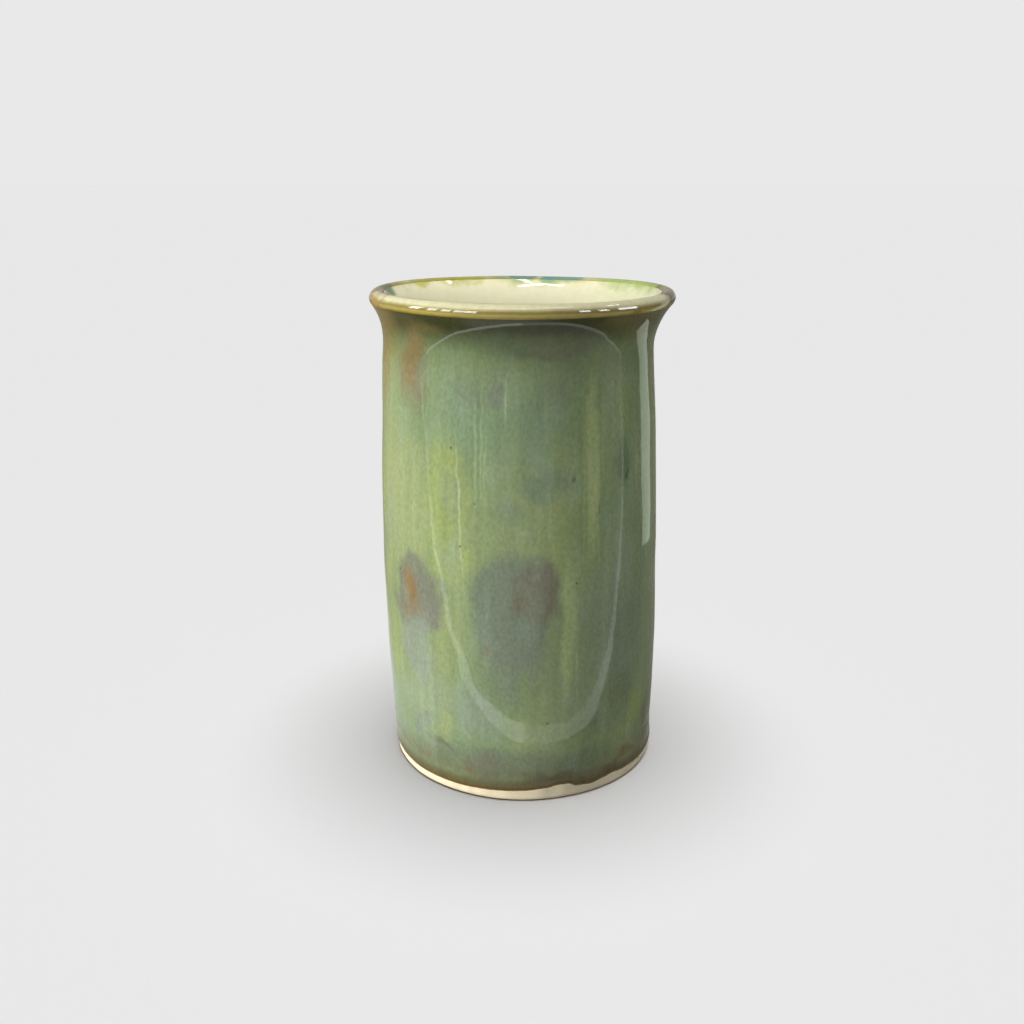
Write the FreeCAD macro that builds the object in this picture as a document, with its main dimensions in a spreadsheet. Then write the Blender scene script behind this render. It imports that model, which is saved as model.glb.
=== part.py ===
import FreeCAD, Part
import math
import os

import Sketcher

# Brush holder pot: a wheel-thrown stoneware cylinder with a rolled lip, glazed in three coats.
#
# The pot stands on the XY plane, turned about Z, with its origin at the middle of the foot.
# One lump of clay makes the floor, the wall and the lip. Three glazes cover it: a cream liner
# inside, a green coat outside that stops short of the foot, and the honey-coloured glass on the
# lip where the two overlap. Nothing moves and nothing is fastened: the fire joins the coats on.
#
# The visible outline is a chain of arcs, each tangent to the next, named from the foot up:
#     heel      the slight tuck below the widest height
#     shoulder  the long narrowing from the widest height to the neck
#     flare     the hollow curve that turns the wall outwards
#     bead      the half circle over the lip
# The same arcs come back down inside, one wall thickness away, and a fillet leads to the floor.
# A coat lies between the visible skin, at depth nothing, and the skin one glaze thickness deeper.

# Driving dimensions in millimetres: alias, value, meaning.
SIZES = [
    ("pot_height", 145.0, "foot to the top of the lip"),
    ("belly_radius", 42.27, "widest part of the wall, outside"),
    ("belly_height", 46.0, "height of the widest part"),
    ("heel_arc", 750.0, "radius of the wall's curve below the belly"),
    ("shoulder_arc", 1330.0, "radius of the wall's curve above the belly"),
    ("flare_arc", 19.0, "radius of the hollow curve below the lip"),
    ("lip_radius", 44.3, "outermost radius of the lip"),
    ("bead_radius", 2.3, "radius of the rolled lip; the wall is twice as thick, glazes included"),
    ("glaze_coat", 0.7, "thickness of each glaze coat"),
    ("glaze_line", 3.0, "height above the foot at which the green coat stops"),
    ("floor_height", 7.0, "top of the glazed floor inside"),
    ("floor_fillet", 9.0, "curve between the floor and the wall, inside"),
    ("foot_round", 1.2, "softened lower edge of the foot"),
]
SIZE = {alias: value for alias, value, meaning in SIZES}
SHEET_NAME = "Sizes"

START, END, CENTRE = 1, 2, 3
FIRST, LAST = 0, 1
ORIGIN_POINT = (-1, 1)
UPRIGHT_AXIS = -2


def make_sheet(document):
    sheet = document.addObject("Spreadsheet::Sheet", SHEET_NAME)
    for row, (alias, value, meaning) in enumerate(SIZES, start=1):
        sheet.set(f"A{row}", alias)
        sheet.set(f"B{row}", str(value))
        sheet.set(f"C{row}", meaning)
        sheet.setAlias(f"B{row}", alias)
    document.recompute()


def from_sheet(words):
    """The words with the sheet's name in front of every alias."""
    return " ".join(f"{SHEET_NAME}.{word}" if word in SIZE else word for word in words.split())


def point(x, y):
    return FreeCAD.Vector(x, y, 0)


def towards(here, there, distance):
    return here + (there - here) * (distance / (there - here).Length)


def crossing(one, one_radius, two, two_radius):
    """Where two circles cross, on the right-hand side of the way from one centre to the other."""
    apart = (two - one).Length
    forward = (apart**2 + one_radius**2 - two_radius**2) / (2 * apart)
    aside = math.sqrt(one_radius**2 - forward**2)
    way = (two - one) * (1 / apart)
    return one + way * forward + point(way.y, -way.x) * aside


# Centres shared by the skins at every depth. Sketch x is the distance from the axis, y the height.
HEEL_CENTRE = point(SIZE["belly_radius"] - SIZE["heel_arc"], SIZE["belly_height"])
SHOULDER_CENTRE = point(SIZE["belly_radius"] - SIZE["shoulder_arc"], SIZE["belly_height"])
BEAD_CENTRE = point(SIZE["lip_radius"] - SIZE["bead_radius"], SIZE["pot_height"] - SIZE["bead_radius"])
FLARE_CENTRE = crossing(
    SHOULDER_CENTRE,
    SIZE["shoulder_arc"] + SIZE["flare_arc"],
    BEAD_CENTRE,
    SIZE["flare_arc"] + SIZE["bead_radius"],
)

# What holds each arc's centre: (distance from the axis, height). Tangency settles the rest.
HELD = {
    "heel": (None, "belly_height"),
    "shoulder": ("belly_radius - shoulder_arc", "belly_height"),
    "flare": (None, None),
    "bead": ("lip_radius - bead_radius", "pot_height - bead_radius"),
    "fillet": (None, None),
    "foot_band": (None, None),
}


class Skin:
    """The arcs of the outline at one depth: kind, centre, radius in words, first and last point."""

    def __init__(self, deep):
        depth = SIZE["glaze_coat"] if deep else 0
        self.less = " - glaze_coat" if deep else ""
        self.more = " + glaze_coat" if deep else ""
        wall = 2 * SIZE["bead_radius"]
        shoulder = SIZE["shoulder_arc"] - depth
        inner_shoulder = SIZE["shoulder_arc"] - wall + depth
        inner_heel = SIZE["heel_arc"] - wall + depth
        self.heel_radius = SIZE["heel_arc"] - depth
        self.belly = HEEL_CENTRE + point(self.heel_radius, 0)
        self.neck = towards(SHOULDER_CENTRE, FLARE_CENTRE, shoulder)
        self.lip_outside = towards(FLARE_CENTRE, BEAD_CENTRE, SIZE["flare_arc"] + depth)
        self.lip_inside = towards(FLARE_CENTRE, BEAD_CENTRE, SIZE["flare_arc"] + wall - depth)
        self.inner_neck = towards(SHOULDER_CENTRE, FLARE_CENTRE, inner_shoulder)
        self.inner_belly = HEEL_CENTRE + point(inner_heel, 0)
        self.floor = SIZE["floor_height"] - depth
        fillet = SIZE["floor_fillet"] + depth
        rise = self.floor + fillet - HEEL_CENTRE.y
        self.fillet_centre = HEEL_CENTRE + point(math.sqrt((inner_heel - fillet) ** 2 - rise**2), rise)
        self.fillet_top = towards(HEEL_CENTRE, self.fillet_centre, inner_heel)
        self.fillet_foot = point(self.fillet_centre.x, self.floor)

    def heel_point(self, height):
        drop = height - HEEL_CENTRE.y
        return HEEL_CENTRE + point(math.sqrt(self.heel_radius**2 - drop**2), drop)

    def outside(self, lowest):
        """Heel, shoulder and flare, from a height on the heel up to the lip."""
        return [
            ("heel", HEEL_CENTRE, "heel_arc" + self.less, self.heel_point(lowest), self.belly),
            ("shoulder", SHOULDER_CENTRE, "shoulder_arc" + self.less, self.belly, self.neck),
            ("flare", FLARE_CENTRE, "flare_arc" + self.more, self.neck, self.lip_outside),
        ]

    def over_lip(self):
        return [("bead", BEAD_CENTRE, "bead_radius" + self.less, self.lip_outside, self.lip_inside)]

    def inside(self):
        """Flare, shoulder, heel and fillet, from the lip down to the floor."""
        flare = "flare_arc + 2 * bead_radius" + self.less
        shoulder = "shoulder_arc - 2 * bead_radius" + self.more
        heel = "heel_arc - 2 * bead_radius" + self.more
        fillet = "floor_fillet" + self.more
        return [
            ("flare", FLARE_CENTRE, flare, self.lip_inside, self.inner_neck),
            ("shoulder", SHOULDER_CENTRE, shoulder, self.inner_neck, self.inner_belly),
            ("heel", HEEL_CENTRE, heel, self.inner_belly, self.fillet_top),
            ("fillet", self.fillet_centre, fillet, self.fillet_top, self.fillet_foot),
        ]


def backwards(arcs):
    return [(kind, centre, words, last, first) for kind, centre, words, first, last in reversed(arcs)]


class HalfSection:
    """A closed outline in a body's XZ plane, laid piece by piece and bound to the sheet."""

    def __init__(self, body, name):
        self.sketch = body.newObject("Sketcher::SketchObject", name)
        planes = [feature for feature in body.Origin.OriginFeatures if feature.Role == "XZ_Plane"]
        self.sketch.AttachmentSupport = (planes[0], [""])
        self.sketch.MapMode = "FlatFace"
        self.expressions = {}
        self.ends = {}
        self.begun = None
        self.reached = None

    def constrain(self, *what):
        return self.sketch.addConstraint(Sketcher.Constraint(*what))

    def bind(self, words, *what):
        """A constraint whose value follows the sheet."""
        name = f"bound_{len(self.expressions) + 1}"
        self.sketch.renameConstraint(self.constrain(*what), name)
        self.expressions[name] = from_sheet(words)

    def hold(self, piece, where, across=None, up=None):
        """Holds a point at a distance from the axis, at a height, or both."""
        place = self.sketch.getPoint(piece, where)
        if across:
            self.bind(across, "DistanceX", *ORIGIN_POINT, piece, where, place.x)
        if up:
            self.bind(up, "DistanceY", *ORIGIN_POINT, piece, where, place.y)

    def join(self, piece, first, last, tangent):
        """Ties the piece to the end reached so far, and moves that end on."""
        if self.reached:
            self.constrain("Tangent" if tangent else "Coincident", *self.reached, piece, first)
        else:
            self.begun = (piece, first)
        self.ends[piece] = (first, last)
        self.reached = (piece, last)

    def line(self, first, last, tangent=False):
        piece = self.sketch.addGeometry(Part.LineSegment(first, last), False)
        self.join(piece, START, END, tangent)
        return piece

    def arc(self, kind, centre, words, first, last, tangent=True):
        """An arc the shorter way round, or over the top for a bead, which is half a circle."""
        from_angle, to_angle = (math.atan2(p.y - centre.y, p.x - centre.x) for p in (first, last))
        turn = (to_angle - from_angle) % (2 * math.pi)
        forward = first.x > last.x if kind == "bead" else turn < math.pi
        circle = Part.Circle(centre, FreeCAD.Vector(0, 0, 1), (first - centre).Length)
        limits = (from_angle, from_angle + turn) if forward else (to_angle, to_angle - turn + 2 * math.pi)
        piece = self.sketch.addGeometry(Part.ArcOfCircle(circle, *limits), False)
        self.join(piece, *((START, END) if forward else (END, START)), tangent)
        self.bind(words, "Radius", piece, (first - centre).Length)
        self.hold(piece, CENTRE, *HELD[kind])
        return piece

    def arcs(self, arcs, tangent=True):
        """A chain of arcs, tangent to one another; tangent tells how the first one is met."""
        first = self.arc(*arcs[0], tangent)
        return [first] + [self.arc(*arc) for arc in arcs[1:]]

    def meet_bead(self, piece, end, skin):
        """Stops a flare's first or last end where it touches the bead, which is drawn as a guide."""
        words = "bead_radius" + skin.less
        radius = (skin.lip_outside - BEAD_CENTRE).Length
        guide = self.sketch.addGeometry(Part.Circle(BEAD_CENTRE, FreeCAD.Vector(0, 0, 1), radius), True)
        self.bind(words, "Radius", guide, radius)
        self.hold(guide, CENTRE, *HELD["bead"])
        self.constrain("Tangent", piece, self.ends[piece][end], guide)

    def guide(self, first, last, words):
        """A construction line of a bound length."""
        piece = self.sketch.addGeometry(Part.LineSegment(first, last), True)
        self.bind(words, "Distance", piece, (last - first).Length)
        return piece

    def floor(self, skin, outwards=False):
        """The level floor between the axis and its fillet, in either direction."""
        middle = point(0, skin.floor)
        ends = (middle, skin.fillet_foot) if outwards else (skin.fillet_foot, middle)
        piece = self.line(*ends, tangent=not outwards)
        at_axis = START if outwards else END
        self.constrain("Horizontal", piece)
        self.constrain("PointOnObject", piece, at_axis, UPRIGHT_AXIS)
        self.hold(piece, at_axis, up="floor_height" + skin.less)

    def close(self):
        self.constrain("Coincident", *self.reached, *self.begun)
        for name, words in self.expressions.items():
            self.sketch.setExpression(f"Constraints.{name}", words)
        return self.sketch


def spin(body, sketch):
    """Turns the half section all the way round the upright axis."""
    turned = body.newObject("PartDesign::Revolution", f"{body.Name}_spun")
    turned.Profile = sketch
    turned.ReferenceAxis = (sketch, ["V_Axis"])
    turned.Angle = 360.0
    sketch.Visibility = False


def make_clay(body, visible, covered):
    """Floor, wall and lip; the foot below the glaze line stands out by one coat and stays bare."""
    section = HalfSection(body, "clay_section")
    round_radius, glaze_line = SIZE["foot_round"], SIZE["glaze_line"]
    rise = round_radius - HEEL_CENTRE.y
    reach = visible.heel_radius - round_radius
    round_centre = HEEL_CENTRE + point(math.sqrt(reach**2 - rise**2), rise)
    round_top = towards(HEEL_CENTRE, round_centre, visible.heel_radius)

    base = section.line(point(0, 0), point(round_centre.x, 0))
    section.constrain("Coincident", base, START, *ORIGIN_POINT)
    section.constrain("Horizontal", base)
    foot = ("fillet", round_centre, "foot_round", point(round_centre.x, 0), round_top)
    band = ("foot_band", HEEL_CENTRE, "heel_arc", round_top, visible.heel_point(glaze_line))
    bare = section.arcs([foot, band])[1]
    ledge = section.line(visible.heel_point(glaze_line), covered.heel_point(glaze_line))
    section.constrain("Horizontal", ledge)
    section.hold(ledge, START, up="glaze_line")
    wall = section.arcs(covered.outside(glaze_line), tangent=False)
    section.constrain("Coincident", bare, CENTRE, wall[0], CENTRE)
    section.arcs(covered.over_lip() + covered.inside())
    section.floor(covered)
    section.line(point(0, covered.floor), point(0, 0))
    spin(body, section.close())


def make_outer_glaze(body, visible, covered):
    """The green coat on the outside of the wall, from the glaze line up to the lip's bead."""
    section = HalfSection(body, "outer_glaze_section")
    glaze_line = SIZE["glaze_line"]
    up = section.arcs(visible.outside(glaze_line))
    section.hold(up[0], section.ends[up[0]][FIRST], up="glaze_line")
    section.meet_bead(up[-1], LAST, visible)
    section.line(visible.lip_outside, covered.lip_outside)
    down = section.arcs(backwards(covered.outside(glaze_line)), tangent=False)
    section.meet_bead(down[0], FIRST, covered)
    hem = section.line(covered.heel_point(glaze_line), visible.heel_point(glaze_line))
    section.constrain("Horizontal", hem)
    spin(body, section.close())


def make_lip_glaze(body, visible, covered):
    """The honey-coloured coat over the bead, ending where the wall's flare begins on either side."""
    section = HalfSection(body, "lip_glaze_section")
    reach = section.guide(SHOULDER_CENTRE, FLARE_CENTRE, "shoulder_arc + flare_arc")
    cut = section.guide(FLARE_CENTRE, BEAD_CENTRE, "flare_arc + bead_radius")
    section.constrain("Coincident", reach, END, cut, START)
    section.hold(reach, START, *HELD["shoulder"])
    section.hold(cut, END, *HELD["bead"])

    over = section.arcs(visible.over_lip())
    section.line(visible.lip_inside, covered.lip_inside)
    back = section.arcs(backwards(covered.over_lip()), tangent=False)
    section.line(covered.lip_outside, visible.lip_outside)
    for bead in over + back:
        section.constrain("PointOnObject", bead, START, cut)
        section.constrain("PointOnObject", bead, END, cut)
    spin(body, section.close())


def make_liner_glaze(body, visible, covered):
    """The cream coat inside, from the lip's bead down the wall and across the floor."""
    section = HalfSection(body, "liner_glaze_section")
    down = section.arcs(visible.inside())
    section.meet_bead(down[0], FIRST, visible)
    section.floor(visible)
    section.line(point(0, visible.floor), point(0, covered.floor))
    section.floor(covered, outwards=True)
    up = section.arcs(backwards(covered.inside()))
    section.meet_bead(up[-1], LAST, covered)
    section.line(covered.lip_inside, visible.lip_inside)
    spin(body, section.close())


PIECES = {
    "clay_body": make_clay,
    "outer_glaze": make_outer_glaze,
    "lip_glaze": make_lip_glaze,
    "liner_glaze": make_liner_glaze,
}


def check(document):
    for item in document.Objects:
        if {"Invalid", "Error"} & set(item.State):
            raise RuntimeError(f"{item.Name} is in a bad state: {item.State}")
        shape = getattr(item, "Shape", None)
        if shape is not None and (shape.isNull() or not shape.isValid()):
            raise RuntimeError(f"{item.Name} has a bad shape")
        if item.TypeId == "Sketcher::SketchObject" and not item.FullyConstrained:
            raise RuntimeError(f"{item.Name} is not fully constrained")


def main():
    document = FreeCAD.newDocument("brush_holder_pot")
    make_sheet(document)
    visible, covered = Skin(deep=False), Skin(deep=True)
    for name, make in PIECES.items():
        body = document.addObject("PartDesign::Body", name)
        body.Label = name
        make(body, visible, covered)
    document.recompute()
    check(document)
    os.makedirs("parts", exist_ok=True)
    for name in PIECES:
        document.getObject(name).Shape.exportStep(f"parts/{name}.step")


main()
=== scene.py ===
# %% [markdown]
# # Brush holder pot
# A wheel-thrown stoneware pot with a green ash glaze outside, a cream liner inside and a rolled lip
# where the two glazes meet. Its sizes come from the imported CAD model, which is loaded first and never
# changed. Each layer of the pot is modelled again here, because thrown clay leans and ripples
# in a way that an exact solid of revolution doesn't.

# %% Load the CAD model
import math

import bpy
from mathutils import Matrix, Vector


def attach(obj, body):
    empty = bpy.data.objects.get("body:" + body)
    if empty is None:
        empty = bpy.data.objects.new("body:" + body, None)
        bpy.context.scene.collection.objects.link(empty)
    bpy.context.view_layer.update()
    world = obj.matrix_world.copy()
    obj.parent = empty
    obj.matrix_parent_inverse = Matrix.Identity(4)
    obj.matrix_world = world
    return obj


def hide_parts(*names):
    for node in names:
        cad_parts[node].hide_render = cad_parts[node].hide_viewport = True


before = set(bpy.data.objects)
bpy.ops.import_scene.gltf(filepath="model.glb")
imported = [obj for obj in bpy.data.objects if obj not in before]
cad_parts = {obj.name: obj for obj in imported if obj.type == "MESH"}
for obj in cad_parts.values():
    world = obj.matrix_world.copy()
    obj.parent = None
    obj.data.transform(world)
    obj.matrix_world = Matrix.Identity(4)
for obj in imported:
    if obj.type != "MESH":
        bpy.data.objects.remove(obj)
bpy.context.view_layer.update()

# %% [markdown]
# ## The outline
# The CAD model draws the wall as tangent arcs: heel, shoulder, flare and the bead over the lip, with the
# same arcs coming back down inside. The numbers below are the same ones, in millimetres. A skin is that
# outline at some depth below the visible surface, so that clay and glaze nest without gaps.

# %% Arc sizes and centres
MM = 0.001
POT_HEIGHT, BELLY_RADIUS, BELLY_HEIGHT = 145.0, 42.27, 46.0
HEEL_ARC, SHOULDER_ARC, FLARE_ARC = 750.0, 1330.0, 19.0
LIP_RADIUS, BEAD_RADIUS = 44.3, 2.3
COAT, GLAZE_LINE = 0.7, 3.0
FLOOR_HEIGHT, FLOOR_FILLET, FOOT_ROUND = 7.0, 9.0, 1.2
WALL = 2 * BEAD_RADIUS

HEEL_CENTRE = Vector((BELLY_RADIUS - HEEL_ARC, BELLY_HEIGHT))
SHOULDER_CENTRE = Vector((BELLY_RADIUS - SHOULDER_ARC, BELLY_HEIGHT))
BEAD_CENTRE = Vector((LIP_RADIUS - BEAD_RADIUS, POT_HEIGHT - BEAD_RADIUS))


def circles_cross(one, one_radius, two, two_radius):
    """The crossing of two circles to the right of the way from one centre to the other."""
    apart = (two - one).length
    forward = (apart**2 + one_radius**2 - two_radius**2) / (2 * apart)
    aside = math.sqrt(one_radius**2 - forward**2)
    way = (two - one) / apart
    return one + way * forward + Vector((way.y, -way.x)) * aside


FLARE_CENTRE = circles_cross(
    SHOULDER_CENTRE, SHOULDER_ARC + FLARE_ARC, BEAD_CENTRE, FLARE_ARC + BEAD_RADIUS
)
print("flare centre", tuple(round(c, 2) for c in FLARE_CENTRE))


# %% Points along the outline
def towards(here, there, distance):
    return here + (there - here).normalized() * distance


def along_arc(centre, first, last, step, over_top=False):
    """Points from first to last about a centre, about a step apart, the last one left out."""
    start, end = (math.atan2(p.y - centre.y, p.x - centre.x) for p in (first, last))
    turn = (end - start) % math.tau
    if turn > math.pi + 1e-6 and not over_top:
        turn -= math.tau
    radius = (first - centre).length
    count = max(2, round(abs(turn) * radius / step))
    angles = [start + turn * i / count for i in range(count)]
    return [centre + Vector((math.cos(a), math.sin(a))) * radius for a in angles]


def heel_point(height, depth):
    drop = height - BELLY_HEIGHT
    return HEEL_CENTRE + Vector((math.sqrt((HEEL_ARC - depth) ** 2 - drop**2), drop))


def outside(depth, step, lowest=GLAZE_LINE):
    """From a height on the heel up to where the bead begins."""
    belly = Vector((BELLY_RADIUS - depth, BELLY_HEIGHT))
    neck = towards(SHOULDER_CENTRE, FLARE_CENTRE, SHOULDER_ARC - depth)
    lip = towards(FLARE_CENTRE, BEAD_CENTRE, FLARE_ARC + depth)
    points = along_arc(HEEL_CENTRE, heel_point(lowest, depth), belly, step)
    points += along_arc(SHOULDER_CENTRE, belly, neck, step)
    return points + along_arc(FLARE_CENTRE, neck, lip, step) + [lip]


def over_lip(depth, step):
    """From the outer end of the bead over the top to its inner end."""
    begin = towards(FLARE_CENTRE, BEAD_CENTRE, FLARE_ARC + depth)
    end = towards(FLARE_CENTRE, BEAD_CENTRE, FLARE_ARC + WALL - depth)
    return along_arc(BEAD_CENTRE, begin, end, step, over_top=True) + [end]


def inside(depth, step):
    """From the inner end of the bead down the wall and across the floor to the axis."""
    lip = towards(FLARE_CENTRE, BEAD_CENTRE, FLARE_ARC + WALL - depth)
    neck = towards(SHOULDER_CENTRE, FLARE_CENTRE, SHOULDER_ARC - WALL + depth)
    belly = Vector((BELLY_RADIUS - WALL + depth, BELLY_HEIGHT))
    heel, fillet, floor = HEEL_ARC - WALL + depth, FLOOR_FILLET + depth, FLOOR_HEIGHT - depth
    rise = floor + fillet - BELLY_HEIGHT
    centre = HEEL_CENTRE + Vector((math.sqrt((heel - fillet) ** 2 - rise**2), rise))
    fillet_top = towards(HEEL_CENTRE, centre, heel)
    fillet_foot = Vector((centre.x, floor))
    points = along_arc(FLARE_CENTRE, lip, neck, step)
    points += along_arc(SHOULDER_CENTRE, neck, belly, step)
    points += along_arc(HEEL_CENTRE, belly, fillet_top, step)
    points += along_arc(centre, fillet_top, fillet_foot, step)
    count = round(centre.x / step)
    return points + [Vector((centre.x * (1 - i / count), floor)) for i in range(count + 1)]


# %% [markdown]
# ## Throwing a layer
# A potter raises a wall by turning one outline about the wheel's axis, and a lathe does the same. A plane
# is merged to one point, the point is extruded along the outline, and a Screw modifier turns the outline
# once round. The spin operator gives the same mesh, but it takes a hundred times as long for this many
# steps. Both leave even quads that later steps can push about. The points on the axis and the closing
# seam are merged, and the normals are made to face out.

# %% Select, modify and throw
TURN_STEPS = 360
MERGE_WITHIN = 0.01
CREASE_DEGREES = 50


def select_only(piece):
    if bpy.context.mode != "OBJECT":
        bpy.ops.object.mode_set(mode="OBJECT")
    bpy.ops.object.select_all(action="DESELECT")
    piece.select_set(True)
    bpy.context.view_layer.objects.active = piece


def modify(piece, kind, **settings):
    """Adds a modifier, sets it and applies it."""
    select_only(piece)
    modifier = piece.modifiers.new(kind.lower(), kind)
    for setting, value in settings.items():
        setattr(modifier, setting, value)
    bpy.ops.object.modifier_apply(modifier=modifier.name)


def throw(name, outline):
    """Turns an outline of (radius, height) points in millimetres into a closed piece."""
    bpy.ops.object.select_all(action="DESELECT")
    first = outline[0]
    bpy.ops.mesh.primitive_plane_add(size=MM, location=(first.x * MM, 0, first.y * MM))
    piece = bpy.context.object
    piece.name = piece.data.name = name
    bpy.ops.object.transform_apply(location=True, rotation=True, scale=True)
    bpy.ops.object.mode_set(mode="EDIT")
    bpy.ops.mesh.merge(type="CENTER")
    for here, there in zip(outline, outline[1:]):
        step = ((there.x - here.x) * MM, 0, (there.y - here.y) * MM)
        bpy.ops.mesh.extrude_region_move(TRANSFORM_OT_translate={"value": step})
    bpy.ops.object.mode_set(mode="OBJECT")
    modify(piece, "SCREW", angle=math.tau, axis="Z", steps=TURN_STEPS, render_steps=TURN_STEPS)
    bpy.ops.object.mode_set(mode="EDIT")
    bpy.ops.mesh.select_all(action="SELECT")
    bpy.ops.mesh.remove_doubles(threshold=MERGE_WITHIN * MM)
    bpy.ops.mesh.normals_make_consistent(inside=False)
    bpy.ops.object.mode_set(mode="OBJECT")
    bpy.ops.object.shade_smooth_by_angle(angle=math.radians(CREASE_DEGREES))
    print(name, len(piece.data.polygons), "faces")
    return piece


def ring_of(points):
    """Closes an outline by repeating its first point at the end."""
    return points + [points[0]]


# %% [markdown]
# ## The hand of the potter
# The real pot isn't true: its neck leans over a millimetre to one side and its face swims where fingers
# pressed. A lattice bends all four layers alike, as a squeeze of the soft clay would. Displacements along
# X and Y ripple them by the same amount at the same place, and one along Z makes the rim uneven, so the
# layers stay nested. Moving each layer's points separately would open gaps between them.

# %% A lattice that leans the wall: share of the height, and millimetres sideways
LEAN = (
    (0.0, 0.5), (0.1, 0.1), (0.25, -0.25), (0.45, -0.8), (0.7, -1.1), (0.88, -1.45), (0.97, -0.5),
    (1.0, 0.0),
)
LATTICE_ROWS, LATTICE_WIDTH, NECK = 32, 0.12, 0.88

bpy.ops.object.select_all(action="DESELECT")
bpy.ops.object.add(type="LATTICE", location=(0, 0, POT_HEIGHT / 2 * MM))
squeeze = bpy.context.object
squeeze.name = "squeeze"
squeeze.scale = (LATTICE_WIDTH, LATTICE_WIDTH, POT_HEIGHT * MM)
squeeze.data.points_u, squeeze.data.points_v, squeeze.data.points_w = 2, 2, LATTICE_ROWS


def between(table, place):
    """A smooth reading between the (place, value) pairs of a table."""
    for (low, low_value), (high, high_value) in zip(table, table[1:]):
        if place <= high:
            t = max(0.0, (place - low) / (high - low))
            return low_value + (high_value - low_value) * t * t * (3 - 2 * t)
    return table[-1][1]


for index, corner in enumerate(squeeze.data.points):
    share = (index // 4) / (LATTICE_ROWS - 1)
    corner.co_deform.x += between(LEAN, share) * MM / squeeze.scale.x
print("lattice rows", LATTICE_ROWS, "lean at the neck", between(LEAN, NECK), "mm")

# %% Ripples shared by every layer
ripple = bpy.data.textures.new("finger_ripple", "CLOUDS")
ripple.noise_scale = 26 * MM
ripple.noise_depth = 1
rim_wave = bpy.data.textures.new("rim_wave", "CLOUDS")
rim_wave.noise_scale = 45 * MM
rim_wave.noise_depth = 0
RIPPLE_DEEP, RIM_WAVE_HIGH = 0.5, 0.8


def press_by_hand(piece):
    """Ripples a layer along X and Y, waves its rim along Z, and leans it with the lattice."""
    for axis, texture, strength in (
        ("X", ripple, RIPPLE_DEEP), ("Y", ripple, RIPPLE_DEEP), ("Z", rim_wave, RIM_WAVE_HIGH),
    ):
        modify(
            piece,
            "DISPLACE",
            texture=texture,
            direction=axis,
            strength=strength * MM,
            mid_level=0.5,
            vertex_group="free_rim" if axis == "Z" else "",
        )
    modify(piece, "LATTICE", object=squeeze)


# %% [markdown]
# ## Clay body
# The lump of buff stoneware. Only its foot shows: a bare band a few millimetres high where glaze was
# wiped away so that the pot wouldn't stick to the kiln shelf, and the underside that a wire cut from the
# wheel. Those get fine rows. The rest is buried in glaze and stays coarse.

# %% Throw the clay
FINE, COARSE = 0.9, 6.0
BAND_TOP, BAND_DEPTH, BAND_ROWS, BAND_STEP = 8.0, 0.25, 15, 0.45
FOOT_RADIUS, FOOT_STEP = 39.7, 0.3
UNDERSIDE_ROWS, UNDERSIDE_HOLLOW = 36, 0.35

shares = [i / UNDERSIDE_ROWS for i in range(UNDERSIDE_ROWS + 1)]
underside = [Vector((FOOT_RADIUS * share, UNDERSIDE_HOLLOW * (1 - share**6))) for share in shares]
foot_centre = Vector((FOOT_RADIUS, FOOT_ROUND))
foot_side = Vector((FOOT_RADIUS + FOOT_ROUND, FOOT_ROUND))
foot_edge = along_arc(foot_centre, Vector((FOOT_RADIUS, 0.0)), foot_side, FOOT_STEP)
band = [heel_point(FOOT_ROUND + BAND_STEP * i, BAND_DEPTH) for i in range(1, BAND_ROWS + 1)]
clay_outline = underside[:-1] + foot_edge + band
clay_outline += outside(COAT, COARSE, lowest=BAND_TOP + 2) + over_lip(COAT, 0.6)[1:]
clay_outline += inside(COAT, COARSE)[1:]
clay = throw("thrown_clay", clay_outline)

# %% [markdown]
# ## Outer glaze
# A coat of glass under a millimetre thick that ran as it melted. Its lower edge has a fat roll, because
# the melt piles up where it stops, and a tool left a faint groove above it. The coat is turned as a
# closed skin, front and back. The roll is a swelling of its lowest two millimetres. It and the groove are
# worked into the outline before it is turned.

# %% Throw the green coat
ROLL_PROUD, ROLL_HEIGHT = 0.26, 0.8
GROOVE_HEIGHT, GROOVE_WIDTH, GROOVE_DEPTH = 11.5, 1.3, 0.16


def worked(point):
    """A point of the coat's face, swollen at the hem and pressed in at the groove."""
    rise = (point.y - GLAZE_LINE) / ROLL_HEIGHT
    off = (point.y - GROOVE_HEIGHT) / GROOVE_WIDTH
    push = ROLL_PROUD * math.exp(-((rise - 1.0) ** 2)) - GROOVE_DEPTH * math.exp(-(off**2))
    return point + Vector((push, 0))


HEM_ROWS, HEM_STEP, FACE_START = 11, 0.28, 3.6
hem_rows = [heel_point(GLAZE_LINE + HEM_STEP * i, 0.0) for i in range(HEM_ROWS)]
face = [worked(p) for p in hem_rows + outside(0.0, FINE, GLAZE_LINE + FACE_START)]
back = outside(COAT, COARSE, GLAZE_LINE + 0.6)[::-1]
hem = [heel_point(GLAZE_LINE + 0.12, 0.30), heel_point(GLAZE_LINE - 0.05, 0.10)]
green_coat = throw("green_coat", ring_of(face + back + hem))

# %% [markdown]
# ## The wandering hem
# The melt stopped at a different height all round the foot. The hem could be nudged up and down point by
# point, but one Displace modifier does it evenly: it lifts straight up, and a painted vertex group says
# by how much. The weights come from a short list of lifts round the pot. Before that, every point keeps
# its height above the hem in an attribute, so that the amber of the roll follows the edge.


# %% Keep a number on every point
def keep(piece, label, measure):
    """Stores measure(x, y, z), in millimetres, as an attribute of every point."""
    attribute = piece.data.attributes.new(label, "FLOAT", "POINT")
    values = [measure(*(c / MM for c in vertex.co)) for vertex in piece.data.vertices]
    attribute.data.foreach_set("value", values)
    print(piece.name, label, round(min(values), 2), "to", round(max(values), 2))


keep(green_coat, "above_hem", lambda x, y, z: z - GLAZE_LINE)

# %% Paint a vertex group in even grades
GRADES = 40


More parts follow.
